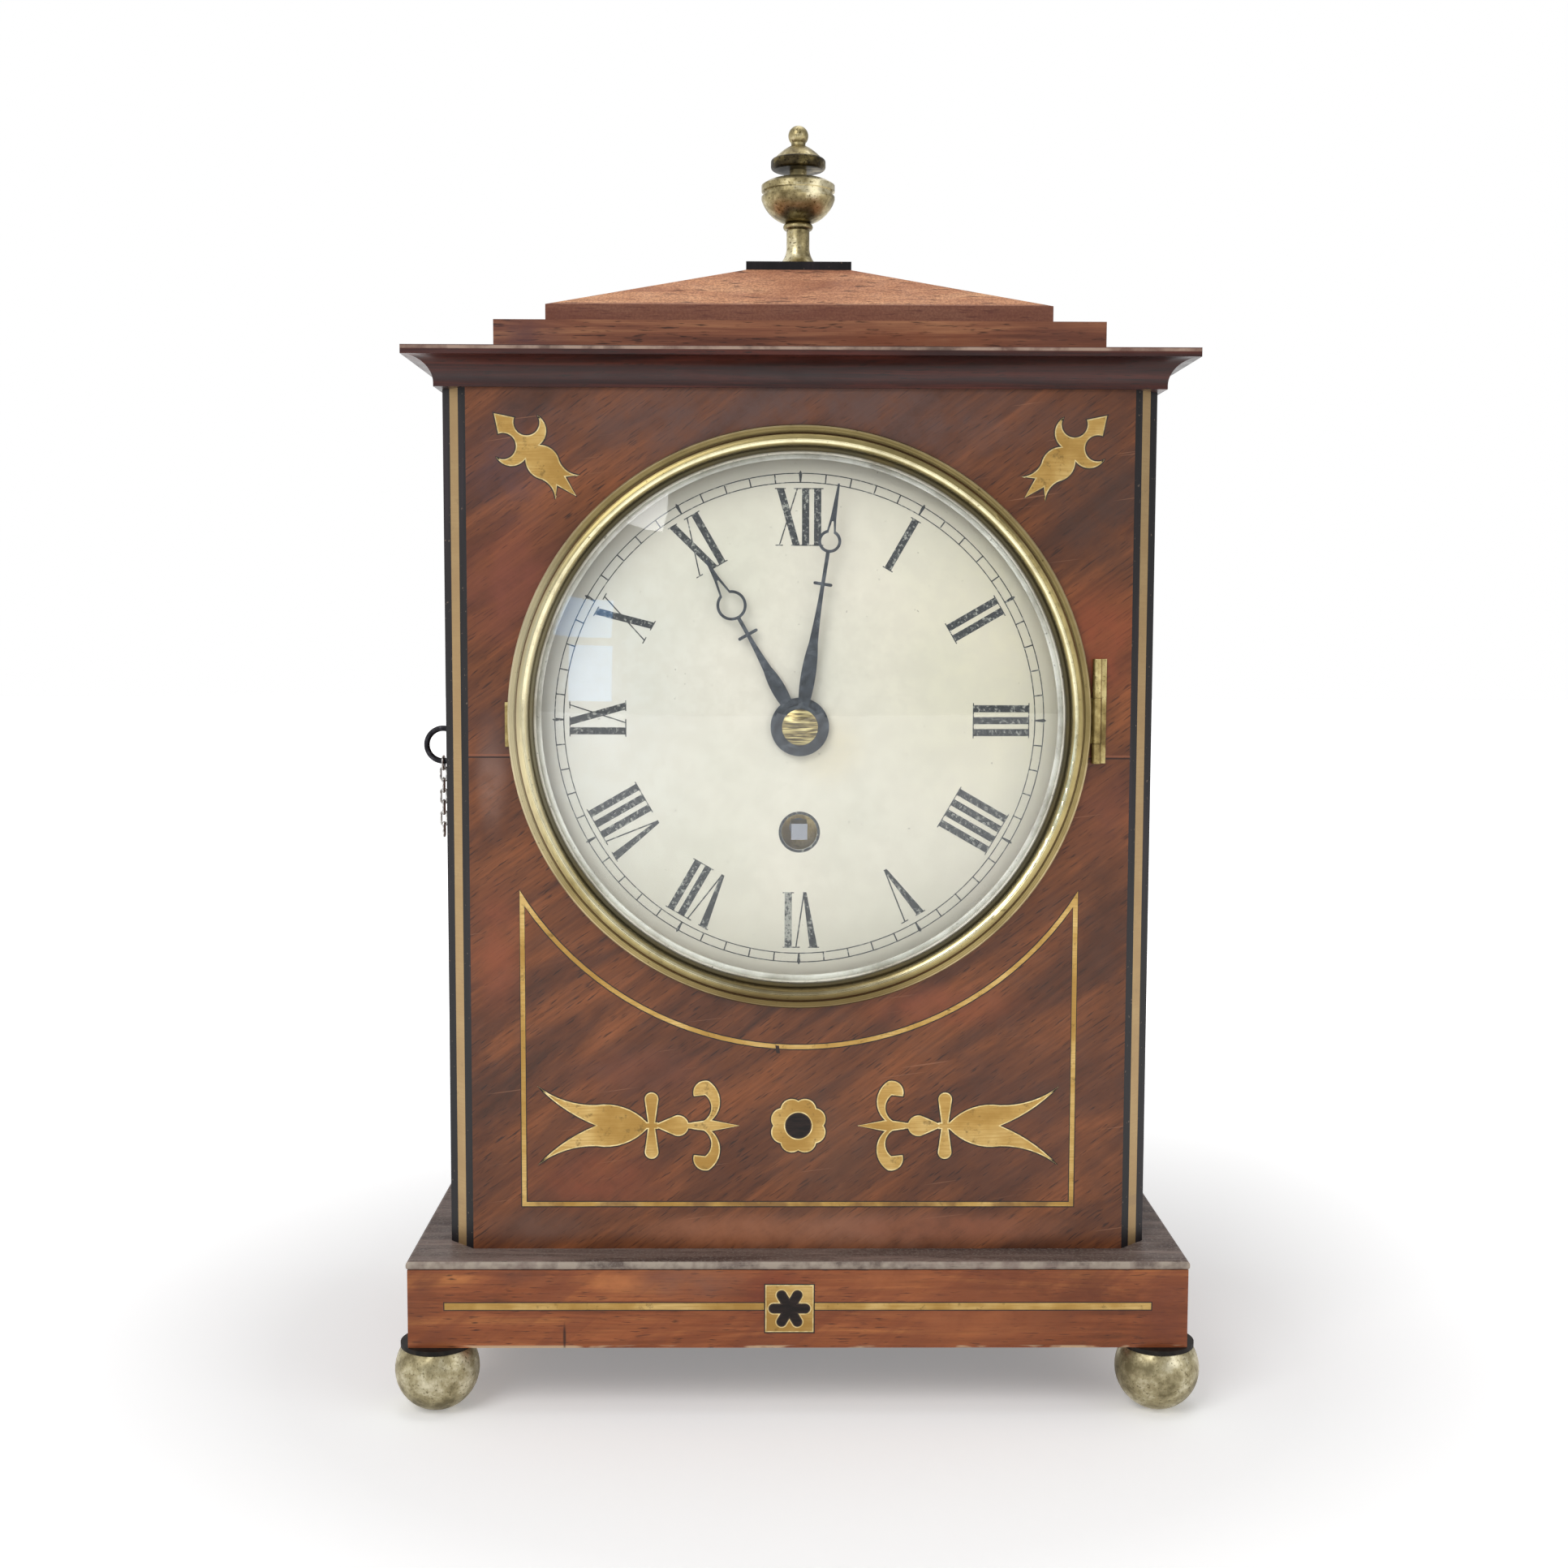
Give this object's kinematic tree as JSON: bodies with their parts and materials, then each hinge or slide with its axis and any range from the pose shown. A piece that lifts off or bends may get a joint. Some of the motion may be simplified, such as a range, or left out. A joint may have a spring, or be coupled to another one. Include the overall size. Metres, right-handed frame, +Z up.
{
  "type": "bracket clock",
  "caption": "Veneered mahogany bracket clock with brass inlays, ball feet, urn finial, hinged convex glass bezel, roman dial, glazed rear door, side lock and key, fusee movement and pendulum.",
  "frame": {"origin": "centre of the bounding box at the height of the surface that the feet stand on", "axes": "+Z up, -Y towards the dial side, +X towards the viewer's right when facing the dial"},
  "size_m": [0.2632, 0.1672, 0.4289],
  "materials": {
    "feet_brass": "aged, patinated",
    "plinth_wood": "waxed veneer",
    "board_wood": "dark waxed",
    "inlay_brass": "satin",
    "ebony": "polished black",
    "front_wood": "french polished veneer",
    "case_wood": "waxed",
    "post_wood": "ebonised",
    "cornice_wood": "dark polished",
    "roof_wood": "waxed",
    "finial_brass": "aged, patinated",
    "bezel_brass": "polished, aged",
    "clear_glass": "clear",
    "dial_paint": "cream enamel paint",
    "hand_steel": "blued and darkened",
    "cap_brass": "polished",
    "movement_brass": "brushed",
    "movement_steel": "fine brushed",
    "key_steel": "black",
    "chain_silver": "bright"
  },
  "bodies": {
    "case": {"ball_feet": "feet_brass", "foot_collars": "feet_brass", "plinth_frame": "plinth_wood", "plinth_top_board": "board_wood", "brass_stringing": "inlay_brass", "brass_ornaments": "inlay_brass", "ebony_inlays": "ebony", "front_panel": "front_wood", "side_panels": "case_wood", "corner_posts": "post_wood", "back_frame": "case_wood", "cornice": "cornice_wood", "top_board": "case_wood", "top_step": "roof_wood", "roof": "roof_wood", "finial_plinth": "roof_wood", "finial_urn": "finial_brass", "finial_collar": "finial_brass", "finial_lid": "finial_brass", "case_hinge_leaf": "bezel_brass", "dial": "dial_paint", "front_plate": "movement_brass", "back_plate": "movement_brass", "pillars": "movement_brass", "back_cock": "movement_brass", "barrel_arbor": "movement_steel", "fusee_chain": "movement_steel", "seat_board": "case_wood", "lock_case": "movement_steel", "rear_hinge_case_leaves": "bezel_brass"},
    "bezel": {"bezel_ring": "bezel_brass", "bezel_glass": "clear_glass", "glass_retaining_ring": "bezel_brass", "bezel_hinge_leaf": "bezel_brass", "bezel_strike": "bezel_brass"},
    "minute_arbor": {"centre_wheel": "movement_brass", "cannon_wheel": "movement_brass", "minute_hand": "hand_steel", "hand_cap": "cap_brass"},
    "hour_pipe": {"hour_wheel": "movement_brass", "hour_hand": "hand_steel"},
    "minute_wheel": {"minute_wheel": "movement_brass"},
    "great_wheel": {"great_wheel": "movement_brass"},
    "fusee": {"fusee": "movement_brass"},
    "barrel": {"barrel": "movement_brass", "mainspring": "movement_steel"},
    "third_wheel": {"third_wheel": "movement_brass"},
    "escape_wheel": {"escape_wheel": "movement_brass"},
    "pallets": {"pallets": "movement_steel"},
    "pendulum": {"pendulum_rod": "movement_steel"},
    "bob": {"pendulum_bob": "movement_brass"},
    "rating_nut": {"rating_nut": "movement_brass"},
    "rear_door": {"rear_door": "case_wood", "rear_door_glass": "clear_glass", "rear_hinge_door_leaves": "bezel_brass"},
    "door_catch": {"door_catch": "bezel_brass"},
    "key": {"key": "key_steel"},
    "lock_bolt": {"lock_bolt": "movement_steel"},
    "key_chain": {"key_chain": "chain_silver"}
  },
  "joints": [
    {"name": "bezel_hinge", "type": "hinge", "parent": "case", "child": "bezel", "pos_m": [0.0953, -0.0667, 0.2281], "axis": [0, 0, 1], "range_deg": [0, 110]},
    {"name": "minute_hand_turn", "type": "hinge", "parent": "case", "child": "minute_arbor", "pos_m": [0, -0.066, 0.2228], "axis": [0, 1, 0], "continuous": true},
    {"name": "hour_hand_turn", "type": "hinge", "parent": "case", "child": "hour_pipe", "pos_m": [0, -0.064, 0.2228], "axis": [0, 1, 0], "continuous": true},
    {"name": "minute_wheel_turn", "type": "hinge", "parent": "case", "child": "minute_wheel", "pos_m": [0.01872, -0.05, 0.2228], "axis": [0, 1, 0], "continuous": true},
    {"name": "great_wheel_turn", "type": "hinge", "parent": "case", "child": "great_wheel", "pos_m": [0, -0.04, 0.1886], "axis": [0, 1, 0], "continuous": true},
    {"name": "third_wheel_turn", "type": "hinge", "parent": "case", "child": "third_wheel", "pos_m": [0.015, -0.032, 0.24561], "axis": [0, 1, 0], "continuous": true},
    {"name": "escape_wheel_turn", "type": "hinge", "parent": "case", "child": "escape_wheel", "pos_m": [0, -0.015, 0.2632], "axis": [0, 1, 0], "continuous": true},
    {"name": "fusee_winding", "type": "hinge", "parent": "great_wheel", "child": "fusee", "pos_m": [0, -0.03, 0.1886], "axis": [0, 1, 0], "continuous": true},
    {"name": "barrel_turn", "type": "hinge", "parent": "case", "child": "barrel", "pos_m": [-0.0471, -0.02, 0.1556], "axis": [0, 1, 0], "continuous": true},
    {"name": "pendulum_swing", "type": "hinge", "parent": "case", "child": "pendulum", "pos_m": [0, 0.017, 0.2842], "axis": [0, 1, 0], "range_deg": [-3.5, 3.5]},
    {"name": "pallet_rock", "type": "hinge", "parent": "case", "child": "pallets", "pos_m": [0, -0.015, 0.2842], "axis": [0, 1, 0], "range_deg": [-3.5, 3.5]},
    {"name": "bob_slide", "type": "slide", "parent": "pendulum", "child": "bob", "axis": [0, 0, 1], "range_m": [-0.0014, 0.0014]},
    {"name": "rating_nut_turn", "type": "hinge", "parent": "bob", "child": "rating_nut", "pos_m": [0, 0.017, 0.0597], "axis": [0, 0, 1], "range_deg": [-720, 720]},
    {"name": "rear_door_hinge", "type": "hinge", "parent": "case", "child": "rear_door", "pos_m": [-0.07975, 0.0769, 0.19], "axis": [0, 0, 1], "range_deg": [0, 110]},
    {"name": "door_catch_turn", "type": "hinge", "parent": "rear_door", "child": "door_catch", "pos_m": [0.0715, 0.076, 0.19], "axis": [0, -1, 0], "range_deg": [0, 90]},
    {"name": "key_turn", "type": "hinge", "parent": "case", "child": "key", "pos_m": [-0.115, -0.007, 0.2132], "axis": [-1, 0, 0], "range_deg": [0, 90]},
    {"name": "bolt_slide", "type": "slide", "parent": "case", "child": "lock_bolt", "axis": [0, 0, 1], "range_m": [0, 0.005]},
    {"name": "key_chain_hang", "type": "hinge", "parent": "key", "child": "key_chain", "pos_m": [-0.1241, -0.007, 0.20745], "axis": [-1, 0, 0], "range_deg": [-90, 0]}
  ],
  "couplings": [
    {"joint": "hour_hand_turn", "follows": "minute_hand_turn", "ratio": 0.083333},
    {"joint": "minute_wheel_turn", "follows": "minute_hand_turn", "ratio": -0.33333},
    {"joint": "great_wheel_turn", "follows": "minute_hand_turn", "ratio": -0.083333},
    {"joint": "third_wheel_turn", "follows": "minute_hand_turn", "ratio": -12},
    {"joint": "escape_wheel_turn", "follows": "minute_hand_turn", "ratio": 132},
    {"joint": "barrel_turn", "follows": "fusee_winding", "ratio": 0.583},
    {"joint": "pallet_rock", "follows": "pendulum_swing", "ratio": 1},
    {"joint": "rating_nut_turn", "follows": "bob_slide", "rad_per_m": 8976},
    {"joint": "key_turn", "follows": "bolt_slide", "rad_per_m": 314.16},
    {"joint": "key_chain_hang", "follows": "bolt_slide", "rad_per_m": -314.16}
  ]
}
